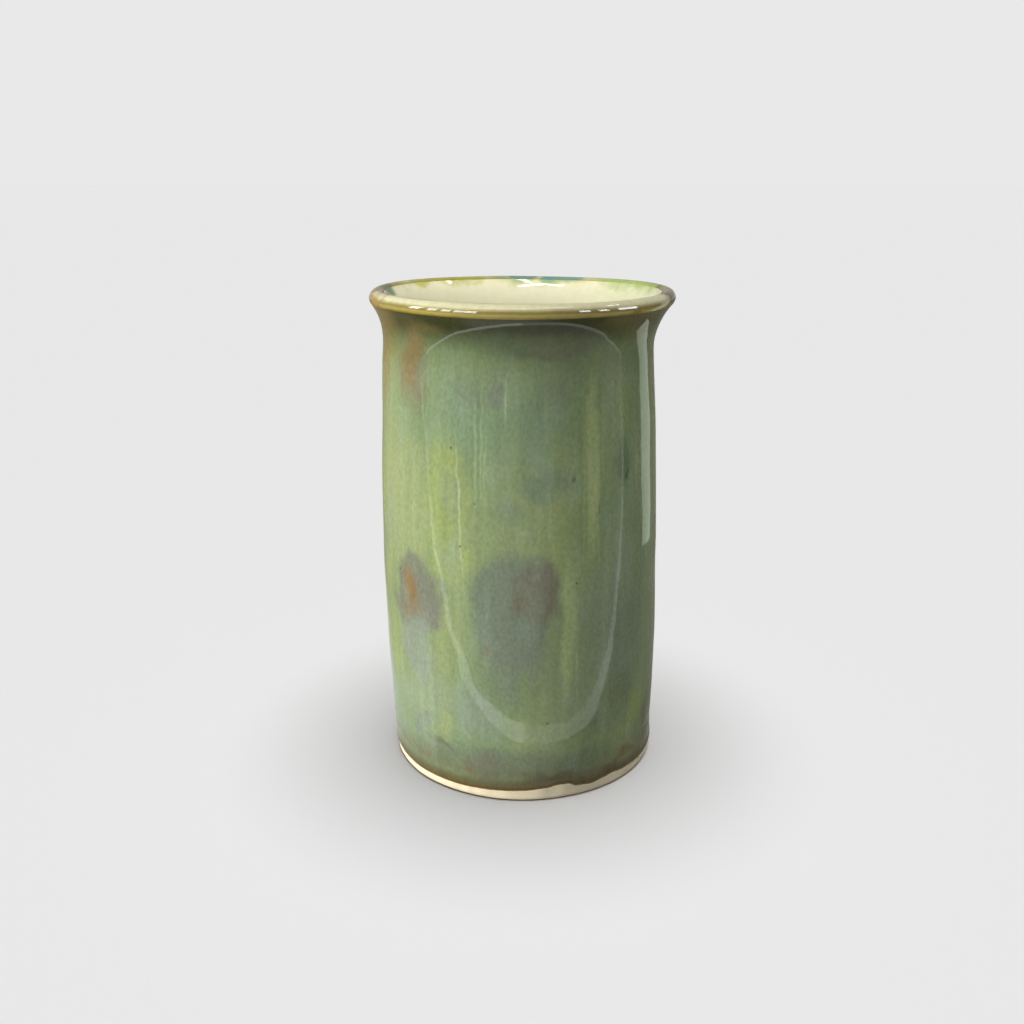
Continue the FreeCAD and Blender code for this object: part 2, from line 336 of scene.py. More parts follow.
def paint(piece, label, weigh):
    """A vertex group whose weight at each point is weigh(x, y, z), in millimetres."""
    group = piece.vertex_groups.new(name=label)
    grades = {}
    for vertex in piece.data.vertices:
        grade = round(GRADES * weigh(*(c / MM for c in vertex.co)))
        if grade > 0:
            grades.setdefault(min(grade, GRADES), []).append(vertex.index)
    for grade, members in grades.items():
        group.add(members, grade / GRADES, "REPLACE")
    return group.name


# %% Lift the hem: degrees round from the front, and millimetres up
HEM_LIFTS = (
    (-180, 0.2), (-160, 0.0), (-139, 0.8), (-120, 0.0), (-104, 0.5), (-78, 0.3), (-64, 0.1),
    (-52, 0.0), (-40, 0.0), (-28, 0.0), (-16, 0.2), (-8, 0.4), (0, 0.6), (8, 1.1),
    (14, 1.8), (18, 1.7), (22, 0.5), (29, 0.0), (35, 0.6), (40, 0.9), (47, 0.4),
    (60, 0.0), (75, 0.0), (92, 1.1), (112, 0.0), (128, 1.0), (136, 0.7), (158, 0.0),
    (171, 0.5), (180, 0.2),
)
MOST_LIFT, HEM_REACH, HEM_FULL = 3.0, 9.0, 1.2


def hem_weight(x, y, z):
    lift = between(HEM_LIFTS, math.degrees(math.atan2(x, -y)))
    fade = min(1.0, max(0.0, 1 - (z - GLAZE_LINE - HEM_FULL) / HEM_REACH))
    return lift / MOST_LIFT * fade * fade * (3 - 2 * fade)


lifted = paint(green_coat, "hem", hem_weight)
modify(
    green_coat, "DISPLACE", direction="Z", strength=MOST_LIFT * MM, mid_level=0.0, vertex_group=lifted
)
print("hem lifted by up to", max(lift for _, lift in HEM_LIFTS), "mm")

# %% [markdown]
# ## Lip coat and liner
# The outer glaze and the liner meet over the rolled lip, and run thin there. Inside, the liner shows the
# rings that the fingers left as the wall was pulled up. They are pressed into the outline, and fade out
# before the lip. Each point of the lip coat keeps how far round the bead it lies, for its colours.

# %% Throw the lip coat and the liner
RING_PITCH, RING_DEPTH = 6.4, 0.22
RINGS_FROM, RINGS_IN_OVER, RINGS_TO, RINGS_OUT_OVER = 14, 12, 128, 20
RIM_FREE_FROM, RIM_FREE_OVER = 100, 40


def ringed(point):
    """A point of the liner with the throwing rings pressed in."""
    coming = min(1.0, max(0.0, (point.y - RINGS_FROM) / RINGS_IN_OVER))
    fade = coming * min(1.0, max(0.0, (RINGS_TO - point.y) / RINGS_OUT_OVER))
    sway = point.y + 1.4 * math.sin(point.y / 11)
    return point + Vector((RING_DEPTH * fade * math.sin(math.tau * sway / RING_PITCH), 0))


lip_coat = throw("lip_coat", ring_of(over_lip(0.0, 0.28) + over_lip(COAT, 0.5)[::-1]))
liner_outline = [ringed(p) for p in inside(0.0, 1.1)] + inside(COAT, COARSE)[::-1]
cream_liner = throw("cream_liner", ring_of(liner_outline))
keep(
    lip_coat,
    "round_lip",
    lambda x, y, z: math.degrees(math.atan2(z - BEAD_CENTRE.y, math.hypot(x, y) - BEAD_CENTRE.x)),
)

# %% Press all four layers alike
layers = (clay, green_coat, lip_coat, cream_liner)
for layer in layers:
    paint(layer, "free_rim", lambda x, y, z: (z - RIM_FREE_FROM) / RIM_FREE_OVER)
    press_by_hand(layer)
bpy.data.objects.remove(squeeze)
print("pressed", [layer.name for layer in layers])

# %% [markdown]
# ## Working in colours and nodes
# Colours are written here as sRGB hex and turned to linear light once. One
# small function adds every node. A socket is given a number, a colour or another node's output.


# %% Colour and node helpers
def linear(hex_colour):
    """An sRGB hex colour as linear RGBA."""
    channels = [int(hex_colour[i : i + 2], 16) / 255 for i in (1, 3, 5)]
    return tuple(c / 12.92 if c <= 0.04045 else ((c + 0.055) / 1.055) ** 2.4 for c in channels) + (1,)


def node(tree, kind, sockets, **settings):
    """Adds a shader node, sets it up and gives back its first output."""
    made = tree.nodes.new("ShaderNode" + kind)
    for setting, value in settings.items():
        setattr(made, setting, value)
    for label, value in sockets.items():
        by_name = [s for s in made.inputs if s.name == label and s.enabled]
        socket = made.inputs[label] if isinstance(label, int) else by_name[0]
        if isinstance(value, bpy.types.NodeSocket):
            tree.links.new(value, socket)
        else:
            socket.default_value = value
    return next((s for s in made.outputs if s.enabled), None)


def start(name, roughness, ior=1.5):
    """A new material: its node tree, its shader and its Object coordinates."""
    material = bpy.data.materials.new(name)
    material.use_nodes = True
    tree = material.node_tree
    shader = tree.nodes["Principled BSDF"]
    shader.inputs["Roughness"].default_value = roughness
    shader.inputs["IOR"].default_value = ior
    place = node(tree, "TexCoord", {}).node.outputs["Object"]
    return material, tree, shader, place


# %% Where on the pot: degrees round and millimetres up, about an axis that the lean moved aside
AXIS_ASIDE = 0.8


def on_the_pot(tree, place, wander, grain_mm):
    """A vector of (degrees round from the front, mm up), and the same made to wander by noise."""
    apart = node(tree, "SeparateXYZ", {0: place}).node.outputs
    across = node(tree, "Math", {0: apart["X"], 1: AXIS_ASIDE * MM}, operation="ADD")
    towards_viewer = node(tree, "Math", {0: apart["Y"], 1: -1.0}, operation="MULTIPLY")
    turn = node(tree, "Math", {0: across, 1: towards_viewer}, operation="ARCTAN2")
    degrees = node(tree, "Math", {0: turn}, operation="DEGREES")
    height = node(tree, "Math", {0: apart["Z"], 1: 1000.0}, operation="MULTIPLY")
    true = node(tree, "CombineXYZ", {"X": degrees, "Y": height})
    noise = node(tree, "TexNoise", {"Vector": place, "Scale": 1000 / grain_mm, "Detail": 4.0})
    swirl = noise.node.outputs["Color"]
    centred = node(tree, "VectorMath", {0: swirl, 1: (0.5, 0.5, 0.5)}, operation="SUBTRACT")
    spread = (wander * 1.3, wander, 0)
    wandering = node(tree, "VectorMath", {0: centred, 1: spread, 2: true}, operation="MULTIPLY_ADD")
    return true, wandering, height


def stain(tree, colour, place, patches):
    """Lays soft elliptical patches over a colour, one after another."""
    past_back = [p for p in patches if abs(p[0]) + p[2] > 180]
    wrapped = [(p[0] - math.copysign(360, p[0]), *p[1:]) for p in past_back]
    for around, up, half_around, half_up, tilt, softness, strength, shade in (*patches, *wrapped):
        settings = {
            "Vector": place,
            "Location": (around, up, 0),
            "Rotation": (0, 0, math.radians(tilt)),
            "Scale": (half_around, half_up, 1),
        }
        local = node(tree, "Mapping", settings, vector_type="TEXTURE")
        ball = node(tree, "TexGradient", {"Vector": local}, gradient_type="SPHERICAL")
        reach = {"Value": ball.node.outputs["Fac"], "From Max": softness, "To Max": strength}
        edge = node(tree, "MapRange", reach, interpolation_type="SMOOTHSTEP")
        colour = node(tree, "Mix", {"Factor": edge, "A": colour, "B": linear(shade)}, data_type="RGBA")
    return colour


def vary(tree, colour, place, grain_mm, stretch, least, most, detail=2.0):
    """Multiplies a colour by noise of a real grain size, between two strengths."""
    long = node(tree, "Mapping", {"Vector": place, "Scale": (1, 1, 1 / stretch)})
    noise = node(tree, "TexNoise", {"Vector": long, "Scale": 1000 / grain_mm, "Detail": detail})
    reach = {"Value": noise, "From Min": 0.3, "From Max": 0.7, "To Min": least, "To Max": most}
    gain = node(tree, "MapRange", reach)
    return node(tree, "VectorMath", {0: colour, "Scale": gain}, operation="SCALE")


# %% [markdown]
# ## Green ash glaze
# An ash glaze is wood ash and feldspar melted to glass over the clay. Iron turns it green, breaks it to
# brown where it is thin, and rutile floats up in pale runs and bluish clouds. To the eye it is a hard wet
# gloss over a soft mottled depth. The colour is built up in layers, most as the kiln built it: a green
# ground with broad clouds, then patches where the coat was thick or thin and one of painted shade on the
# right side, a bluish mist, iron, runs, painted shade under the lip, crystals under a millimetre wide and
# specks. The patches are listed in degrees round and millimetres up.

# %% Ground and clouds
green_glaze, tree, shader, place = start("green_ash_glaze", roughness=0.06)
true, wandering, height = on_the_pot(tree, place, wander=15.0, grain_mm=13.0)

cloud_stretch = node(tree, "Mapping", {"Vector": place, "Scale": (1, 1, 0.45)})
cloud = node(tree, "TexNoise", {"Vector": cloud_stretch, "Scale": 1000 / 24, "Detail": 3.0})
reach = {"Value": cloud, "From Min": 0.38, "From Max": 0.66}
thick = node(tree, "MapRange", reach, interpolation_type="SMOOTHSTEP")
colour = node(
    tree, "Mix", {"Factor": thick, "A": linear("#76895f"), "B": linear("#859263")}, data_type="RGBA"
)

# %% Patches where the coat lies thick or thin, and one of painted shade on the right side
# Each list of patches: degrees round, mm up, half width, half height, tilt, softness, strength, shade
BROAD = (
    (-56, 88, 34, 30, 0, 0.7, 0.8, "#919a6b"),
    (-60, 45, 24, 26, 0, 0.8, 0.6, "#808d5c"),
    (-42, 30, 20, 18, 0, 0.8, 0.7, "#899777"),
    (24, 95, 20, 40, 0, 0.8, 0.55, "#879855"),
    # This broad patch darkens the right side, turned away from the low light: painted shade.
    (62, 60, 30, 70, 0, 0.6, 0.8, "#768763"),
    (-4, 112, 40, 16, 0, 0.9, 0.6, "#708668"),
    (26, 84, 16, 10, 0, 0.9, 0.4, "#75875c"),
    (-26, 118, 14, 14, 0, 0.9, 0.5, "#73866c"),
    (38, 52, 22, 30, 0, 0.8, 0.7, "#77846a"),
    (110, 84, 34, 28, 0, 0.8, 0.7, "#82935f"),
    (150, 40, 30, 24, 0, 0.8, 0.6, "#717c5f"),
    (-120, 96, 32, 26, 0, 0.8, 0.7, "#768b63"),
    (-150, 45, 28, 28, 0, 0.8, 0.7, "#879465"),
)
PATCHES = (
    (-66, 92, 14, 22, 0, 0.6, 0.4, "#919964"),
    (-68, 70, 9, 14, 0, 0.7, 0.6, "#949c69"),
    (-64, 42, 8, 16, 0, 0.7, 0.5, "#8f9a60"),
    (-29, 86, 12, 27, 4, 0.4, 0.85, "#8a975a"),
    (-28, 92, 7, 10, 0, 0.6, 0.5, "#808e6d"),
    (-46, 60, 16, 15, 0, 0.35, 0.95, "#6f7262"),
    (-47, 44, 13, 15, 0, 0.6, 0.8, "#838e7d"),
    (-40, 56, 9, 8, 0, 0.6, 0.6, "#7a7b6b"),
    (-5, 60, 17, 22, 0, 0.3, 0.95, "#6d7864"),
    (7, 66, 11, 13, 0, 0.4, 0.95, "#6e6b57"),
    (6, 70, 7, 7, 0, 0.8, 0.5, "#71675a"),
    (48, 44, 15, 26, 0, 0.8, 0.7, "#6f7a64"),
    (-2, 42, 16, 14, 0, 0.7, 0.8, "#717c67"),
    (3, 37, 6, 9, 0, 0.8, 0.7, "#768658"),
    (8, 97, 15, 5, 0, 0.7, 0.55, "#687c65"),
    (-4, 88, 8, 6, 0, 0.8, 0.5, "#6f8267"),
    (45, 101, 6, 9, 0, 0.7, 0.7, "#5d7053"),
    (-11, 123, 5, 7, 0, 0.7, 0.6, "#696961"),
    (14, 121, 7, 5, 0, 0.8, 0.3, "#6a6f5e"),
    (-34, 20, 6, 10, 0, 0.6, 0.7, "#8e9b67"),
    (-10, 12, 74, 8, 0, 0.7, 0.6, "#626a58"),
    (-34, 14.5, 9, 1.6, -8, 0.8, 0.5, "#5d5f4c"),
    (-52, 13, 9, 1.4, -10, 0.8, 0.5, "#6b5f48"),
    (-62, 9.5, 7, 2.4, 0, 0.9, 0.5, "#7c6448"),
    (-20, 28, 13, 12, 0, 0.7, 0.5, "#7f8a79"),
    (-80, 22, 16, 26, 0, 0.7, 0.7, "#65734c"),
    (74, 14, 24, 18, 0, 0.7, 0.6, "#4b5333"),
    (78, 124, 14, 14, 0, 0.7, 0.8, "#8f8650"),
    (38, 26, 20, 12, 0, 0.7, 0.5, "#67725d"),
    (-46, 20, 6, 5, 0, 0.7, 0.6, "#777d71"),
    (-15, 12, 12, 5, 0, 0.8, 0.6, "#726e60"),
    (55, 22, 10, 9, 0, 0.7, 0.7, "#86904e"),
    (47, 32, 7, 9, 0, 0.8, 0.5, "#657153"),
    (95, 58, 15, 17, 0, 0.35, 0.9, "#70705d"),
    (128, 96, 9, 24, -5, 0.5, 0.9, "#8e9b5b"),
    (152, 72, 19, 12, 8, 0.45, 0.85, "#75745f"),
    (170, 104, 8, 20, 0, 0.6, 0.7, "#899761"),
    (-165, 84, 20, 13, 4, 0.45, 0.85, "#6f7869"),
    (-134, 60, 14, 17, 0, 0.35, 0.9, "#787464"),
    (-104, 74, 9, 26, -4, 0.5, 0.9, "#909b5f"),
    (-92, 44, 12, 16, 0, 0.7, 0.7, "#7e8570"),
)
colour = stain(tree, colour, wandering, BROAD + PATCHES)

# %% A bluish mist of rutile over the patches
mist_noise = node(tree, "TexNoise", {"Vector": cloud_stretch, "Scale": 1000 / 8, "Detail": 5.0})
reach = {"Value": mist_noise, "From Min": 0.5, "From Max": 0.72, "To Max": 0.4}
mist = node(tree, "MapRange", reach)
colour = node(tree, "Mix", {"Factor": mist, "A": colour, "B": linear("#8b9c86")}, data_type="RGBA")

# %% Iron breaking to orange and brown where the coat is thin
IRON = (
    (-50, 61, 7.5, 11, 0, 0.95, 0.9, "#84663d"),
    (-48, 125, 17, 15, 0, 0.9, 0.75, "#7c705a"),
    (-50, 127, 10, 10, 0, 0.9, 0.65, "#84683f"),
    (-20, 121, 12, 7, 0, 0.9, 0.4, "#6c7260"),
    (-74, 122, 11, 20, 0, 0.8, 0.7, "#857448"),
    (-72, 134, 20, 10, 0, 0.8, 0.85, "#8a7336"),
    (-22, 7.5, 4, 2.0, 0, 0.8, 0.6, "#7c5a34"),
    (-46, 11.5, 5, 1.6, 0, 0.8, 0.6, "#86694a"),
    (18, 7.5, 8, 2.6, 0, 0.8, 0.7, "#6b5030"),
    (-13, 48, 4, 4, 0, 0.8, 0.35, "#7c6a4c"),
    (-17.5, 91.5, 1.0, 0.8, 0, 0.8, 0.7, "#3f3b28"),
    (27, 92, 1.1, 1.2, 0, 0.8, 0.6, "#45482f"),
    (33.5, 88, 0.9, 1.4, 0, 0.8, 0.6, "#3c3d28"),
    (47, 98.5, 2.0, 2.4, 0, 0.9, 0.7, "#33402e"),
    (19, 97, 2.0, 1.4, 0, 0.9, 0.6, "#3f4a3a"),
    (13, 8.0, 16, 3.4, 0, 0.9, 0.75, "#57523d"),
    (44, 7.0, 34, 2.4, 0, 0.9, 0.7, "#6f5626"),
    (-20, 9.0, 26, 4.0, 0, 0.9, 0.25, "#636049"),
    (146, 76, 6, 4, 20, 0.9, 0.5, "#8a6a40"),
    (-130, 64, 4, 7, 0, 0.7, 0.8, "#8d5f2c"),
    (100, 128, 8, 12, 0, 0.8, 0.6, "#7c6440"),
    (-150, 127, 9, 12, 0, 0.8, 0.6, "#80663c"),
)
colour = stain(tree, colour, wandering, IRON)

# %% Pale runs, and thin lines where a run stopped spreading
RUNS = (
    (18.5, 56, 4.0, 26, 0, 0.6, 0.85, "#94a46d"),
    (28.5, 102, 4.2, 32, 0, 0.6, 0.8, "#9aa86c"),
    (28.5, 98, 3.0, 12, 0, 0.5, 0.7, "#97a46e"),
    (33.5, 110, 1.6, 18, 0, 0.7, 0.6, "#8a9a65"),
    (-24, 88, 0.9, 30, 5, 1.0, 0.55, "#b4bc94"),
    (-17.5, 104, 0.9, 26, 0, 1.0, 0.4, "#a2ae83"),
    (-15.2, 106, 0.8, 24, 0, 1.0, 0.4, "#a2ae83"),
    (-13.6, 100, 0.8, 20, 0, 1.0, 0.35, "#9eab7e"),
    (-6, 119, 0.9, 10, 0, 1.0, 0.6, "#9fae8b"),
    (11, 88, 0.8, 9, 0, 1.0, 0.35, "#94a27c"),
    (24.5, 96, 0.9, 36, 0, 1.0, 0.4, "#a3ad7e"),
    (31.5, 92, 0.8, 34, 0, 1.0, 0.4, "#a0ab7e"),
    (53, 98, 0.8, 12, 0, 0.8, 0.7, "#a39a61"),
    (22, 44, 0.8, 20, 0, 1.0, 0.4, "#a4ad83"),
    (74, 100, 3.0, 34, 0, 0.6, 0.6, "#8f9d62"),
    (104, 112, 0.7, 22, 0, 0.8, 0.6, "#a2ae83"),
    (140, 60, 3.2, 34, 0, 0.6, 0.6, "#8d9c61"),
    (163, 96, 0.7, 30, 3, 0.8, 0.6, "#a8b187"),
    (-175, 88, 3.0, 26, 0, 0.6, 0.5, "#8d9c61"),
    (-116, 100, 0.7, 30, -4, 0.8, 0.6, "#a8b187"),
    (-86, 98, 2.8, 30, 0, 0.6, 0.5, "#929f67"),
)
ragged = node(tree, "Mix", {"Factor": 0.3, "A": true, "B": wandering}, data_type="VECTOR")
colour = stain(tree, colour, ragged, RUNS)

# %% Painted shade under the lip, patches near it, and darker and browner towards the hem
# The two ramps darken the wall under the flared lip: painted shade where the lip hides it from the light
# above.
for low, high, share, shade in (
    (123, 135, 0.6, "#556039"),
    (131, 139, 0.95, "#2a2b0e"),
):
    reach = {"Value": height, "From Min": low, "From Max": high, "To Max": share}
    painted_lip_shade = node(tree, "MapRange", reach, interpolation_type="SMOOTHSTEP")
    colour = node(
        tree, "Mix", {"Factor": painted_lip_shade, "A": colour, "B": linear(shade)}, data_type="RGBA"
    )
NEAR_LIP = (
    (-72, 139, 26, 9, 0, 0.9, 0.7, "#74602d"),
    (-46, 132, 9, 9, 0, 0.9, 0.6, "#7a613a"),
    (14, 134, 24, 5, 0, 0.9, 0.5, "#595643"),
    (-6, 133.5, 26, 5, 0, 0.9, 0.6, "#46523a"),
    (46, 138.5, 26, 5, 0, 0.9, 0.4, "#6f6836"),
    (-40, 138, 12, 4, 0, 0.9, 0.45, "#6b5f34"),
)
colour = stain(tree, colour, wandering, NEAR_LIP)

above_hem = node(tree, "Attribute", {}, attribute_name="above_hem").node.outputs["Fac"]
for low, high, share, shade in (
    (13.0, 3.0, 0.45, "#62603f"),
    (4.5, 1.6, 0.75, "#554a26"),
    (1.7, 0.6, 1.0, "#5c4510"),
    (0.5, 0.0, 0.9, "#86662a"),
):
    reach = {"Value": above_hem, "From Min": low, "From Max": high, "To Max": share}
    near_hem = node(tree, "MapRange", reach, interpolation_type="SMOOTHSTEP")
    colour = node(
        tree, "Mix", {"Factor": near_hem, "A": colour, "B": linear(shade)}, data_type="RGBA"
    )

# %% Streaks, crystals and iron specks
colour = vary(tree, colour, place, grain_mm=3.2, stretch=14, least=0.92, most=1.08)
colour = vary(tree, colour, place, grain_mm=0.9, stretch=1.5, least=0.88, most=1.13, detail=4.0)

cells = node(tree, "TexVoronoi", {"Vector": place, "Scale": 1000 / 8.5})
near = node(tree, "MapRange", {"Value": cells, "From Min": 0.055, "From Max": 0.03})
chance = node(tree, "SeparateColor", {"Color": cells.node.outputs["Color"]})
picked = node(tree, "Math", {0: chance, 1: 0.62}, operation="GREATER_THAN")
speck = node(tree, "Math", {0: near, 1: picked}, operation="MULTIPLY")
faint = node(tree, "Math", {0: speck, 1: 0.6}, operation="MULTIPLY")
colour = node(tree, "Mix", {"Factor": faint, "A": colour, "B": linear("#3a3423")}, data_type="RGBA")
tree.links.new(colour, shader.inputs["Base Color"])

# %% A skin like orange peel, too shallow to break a reflection up
peel = node(tree, "TexNoise", {"Vector": place, "Scale": 1000 / 7.0, "Detail": 1.5})
skin = node(tree, "Bump", {"Height": peel, "Distance": 0.06 * MM, "Strength": 1.0})
tree.links.new(skin, shader.inputs["Normal"])
print(green_glaze.name, len(tree.nodes), "nodes")

# %% [markdown]
# ## Amber glaze of the lip
# Where a runny glaze is drawn thin over an edge, its iron breaks to amber. The lip goes from dark olive
# at its outer foot to gold on its side, through a thin brown band to pale cream over the top, and to
# yellow green where the liner begins. The bands follow how far round the bead a point lies, and noise
# frays them.

# %% Bands round the bead
amber_glaze, tree, shader, place = start("amber_glaze", roughness=0.03)
_, wandering, _ = on_the_pot(tree, place, wander=22.0, grain_mm=7.0)
round_lip = node(tree, "Attribute", {}, attribute_name="round_lip").node.outputs["Fac"]
fray = node(tree, "TexNoise", {"Vector": place, "Scale": 1000 / 3.5, "Detail": 3.0})
reach = {"Value": fray, "To Min": -7.0, "To Max": 7.0}
swing = node(tree, "MapRange", reach)
frayed = node(tree, "Math", {0: round_lip, 1: swing}, operation="ADD")
FIRST_BAND, LAST_BAND = -40, 160
along = node(tree, "MapRange", {"Value": frayed, "From Min": FIRST_BAND, "From Max": LAST_BAND})
bands = node(tree, "ValToRGB", {"Fac": along})
LIP_BANDS = (
    (-40, "#4f4214"), (-31, "#7c6c24"), (-20, "#96853a"), (-10, "#a0924e"), (2, "#82753e"),
    (11, "#897d46"), (20, "#a89d68"), (31, "#c4bd96"), (42, "#cbc6a2"), (95, "#c6c092"),
    (160, "#a7a148"),
)
ramp = bands.node.color_ramp
for index, (angle, shade) in enumerate(LIP_BANDS):
    position = (angle - FIRST_BAND) / (LAST_BAND - FIRST_BAND)
    stop = ramp.elements[index] if index < 2 else ramp.elements.new(position)
    stop.position, stop.color = position, linear(shade)

# %% Pools and breaks round the rim
RIM = (
    (-88, 143, 32, 8, 0, 0.6, 0.95, "#937220"),
    (-84, 140.5, 24, 2.5, 0, 0.8, 0.8, "#5f4818"),
    (84, 140.5, 24, 2.5, 0, 0.8, 0.8, "#43361a"),
    (-76, 142, 4, 3, 0, 0.9, 0.8, "#5e4720"),
    (-62, 142, 3, 2, 0, 0.9, 0.7, "#6a5224"),
    (-90, 144, 5, 3, 0, 0.9, 0.8, "#4f5630"),
    (-50, 141.5, 4, 2, 0, 0.9, 0.6, "#6e5a28"),
    (88, 143, 32, 8, 0, 0.6, 0.95, "#786322"),
    (72, 142, 5, 3, 0, 0.9, 0.8, "#4c3d1c"),
    (58, 142, 5, 2.5, 0, 0.9, 0.8, "#5a4a20"),
    (96, 144, 5, 3, 0, 0.9, 0.7, "#584420"),
    (44, 141.5, 6, 2, 0, 0.9, 0.7, "#6b5a24"),
    (118, 145, 32, 5, 0, 0.6, 0.85, "#8fa750"),
    (-140, 145, 42, 5, 0, 0.7, 0.85, "#aaa63c"),
    (168, 145, 30, 5, 0, 0.5, 0.95, "#6a9080"),
    (-98, 144, 9, 5, 0, 0.6, 0.8, "#566a36"),
)
colour = stain(tree, bands, wandering, RIM)
colour = vary(tree, colour, place, grain_mm=1.6, stretch=1, least=0.93, most=1.06, detail=3.0)
tree.links.new(colour, shader.inputs["Base Color"])
peel = node(tree, "TexNoise", {"Vector": place, "Scale": 1000 / 4.0, "Detail": 1.5})
skin = node(tree, "Bump", {"Height": peel, "Distance": 0.025 * MM, "Strength": 1.0})
tree.links.new(skin, shader.inputs["Normal"])

# %% [markdown]
# ## Cream liner glaze
# A smooth white glaze, warmed by the clay under it and tinted by the outer glaze that ran in over the
# lip. Its ground drifts between two creams over a few centimetres, and a few brown specks show in it.
# The throwing rings are in its mesh, so they need no colour of their own.

# %% Cream, with the outer glaze running in
cream_glaze, tree, shader, place = start("cream_liner_glaze", roughness=0.05)
_, wandering, _ = on_the_pot(tree, place, wander=8.0, grain_mm=7.0)
warm = node(tree, "TexNoise", {"Vector": place, "Scale": 1000 / 30, "Detail": 3.0})
colour = node(
    tree, "Mix", {"Factor": warm, "A": linear("#d8d3b0"), "B": linear("#dcd8bb")}, data_type="RGBA"
)
RUN_IN = (
    (110, 140, 50, 9, 0, 0.8, 0.4, "#cbd0a4"),
    (116, 144.8, 36, 3.8, 0, 0.9, 0.9, "#95a858"),
    (168, 144.5, 34, 3.6, 0, 0.8, 0.8, "#b3ad58"),
    (168, 145.8, 29, 4.2, 0, 0.8, 0.9, "#7b9e88"),
    (-138, 144.8, 44, 2.6, 0, 0.8, 0.8, "#b0ae42"),
    (-97, 143.6, 9, 4.0, 0, 0.7, 0.9, "#4f6c38"),
    (-40, 144.6, 40, 2.2, 0, 0.8, 0.7, "#a3ad4e"),
    (40, 144.6, 40, 2.6, 0, 0.8, 0.8, "#93a850"),
)
colour = stain(tree, colour, wandering, RUN_IN)
colour = vary(tree, colour, place, grain_mm=2.0, stretch=1, least=0.97, most=1.02)
cells = node(tree, "TexVoronoi", {"Vector": place, "Scale": 1000 / 12})
near = node(tree, "MapRange", {"Value": cells, "From Min": 0.03, "From Max": 0.015, "To Max": 0.5})
colour = node(tree, "Mix", {"Factor": near, "A": colour, "B": linear("#8a7448")}, data_type="RGBA")
tree.links.new(colour, shader.inputs["Base Color"])
peel = node(tree, "TexNoise", {"Vector": place, "Scale": 1000 / 6.0, "Detail": 1.5})
skin = node(tree, "Bump", {"Height": peel, "Distance": 0.06 * MM, "Strength": 1.0})
tree.links.new(skin, shader.inputs["Normal"])

# %% [markdown]
# ## Buff stoneware
# Bare fired clay: matt, warm cream, with fine grog that makes it feel like sandpaper, a few iron flecks,
# and a darker bottom edge: toasted where it touched the kiln shelf, and painted shade where it meets
# the floor. The underside keeps the arcs of the cutting wire.

# %% Fired clay
stoneware, tree, shader, place = start("buff_stoneware", roughness=0.85)
_, _, height = on_the_pot(tree, place, wander=6.0, grain_mm=6.0)
tone = node(tree, "TexNoise", {"Vector": place, "Scale": 1000 / 5.0, "Detail": 4.0})
colour = node(
    tree, "Mix", {"Factor": tone, "A": linear("#ecdcb4"), "B": linear("#f4e9cb")}, data_type="RGBA"
)
# The bottom edge darkens: toasted where the foot sat on the kiln shelf, and painted shade where it meets
# the floor.
reach = {"Value": height, "From Min": 1.6, "From Max": 0.2, "To Max": 0.7}
toasted_and_shaded = node(tree, "MapRange", reach, interpolation_type="SMOOTHSTEP")
colour = node(tree, "Mix", {"Factor": toasted_and_shaded, "A": colour, "B": linear("#bfa588")}, data_type="RGBA")
colour = vary(tree, colour, place, grain_mm=0.6, stretch=1, least=0.93, most=1.03, detail=3.0)
cells = node(tree, "TexVoronoi", {"Vector": place, "Scale": 1000 / 4.0})
near = node(tree, "MapRange", {"Value": cells, "From Min": 0.07, "From Max": 0.03, "To Max": 0.35})
colour = node(tree, "Mix", {"Factor": near, "A": colour, "B": linear("#7a5a3c")}, data_type="RGBA")
tree.links.new(colour, shader.inputs["Base Color"])

# %% Grog, and the arcs of the wire
grog = node(tree, "TexNoise", {"Vector": place, "Scale": 1000 / 0.7, "Detail": 3.0})
off_centre = node(tree, "Mapping", {"Vector": place, "Location": (0.0, 0.055, 0.0)})
arcs = node(
    tree,
    "TexWave",
    {"Vector": off_centre, "Scale": 1000 / 14.0, "Distortion": 1.5, "Detail": 2.0, "Detail Scale": 2.0},
    wave_type="RINGS",
    rings_direction="Z",
)
rough = node(tree, "Bump", {"Height": grog, "Distance": 0.08 * MM, "Strength": 1.0})
cut = node(tree, "Bump", {"Height": arcs, "Distance": 0.12 * MM, "Strength": 1.0, "Normal": rough})
tree.links.new(cut, shader.inputs["Normal"])

# %% Put the finishes on, and the pieces on the frame
for piece, finish, node_name, slot_name in (
    (clay, stoneware, "clay_body", "stoneware"),
    (green_coat, green_glaze, "outer_glaze", "green_glaze"),
    (lip_coat, amber_glaze, "lip_glaze", "amber_glaze"),
    (cream_liner, cream_glaze, "liner_glaze", "cream_glaze"),
):
    piece.data.materials.append(finish)
    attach(piece, "root")
    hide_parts(node_name)
    print(piece.name, "wears", finish.name)

# %% [markdown]
# ## Studio
# A pale floor without end, and three soft lights. The one overhead makes the pool of shadow at the foot.
# The low one from the left shapes the wall. Light linking keeps it off the floor and the liner, and it
# doesn't bounce, so it throws no second shadow. The third lights only the liner, as daylight falls into
# the well. A glossy pot shows the room around it, so cards that only reflections can see stand in for it.

# %% Camera: its lens and sensor, its place in millimetres, and the degrees that it looks down
LENS, SENSOR = 37.86, 36.0
CAMERA_PLACE, LOOKS_DOWN = (-3.25, -318.9, 175.4), 17.22

scene = bpy.context.scene
camera_data = bpy.data.cameras.new("camera")
camera_data.lens, camera_data.sensor_width = LENS, SENSOR
camera = bpy.data.objects.new("camera", camera_data)
scene.collection.objects.link(camera)
camera.location = tuple(c * MM for c in CAMERA_PLACE)
camera.rotation_euler = (math.radians(90 - LOOKS_DOWN), 0, 0)
scene.camera = camera
scene.view_settings.view_transform = "Standard"

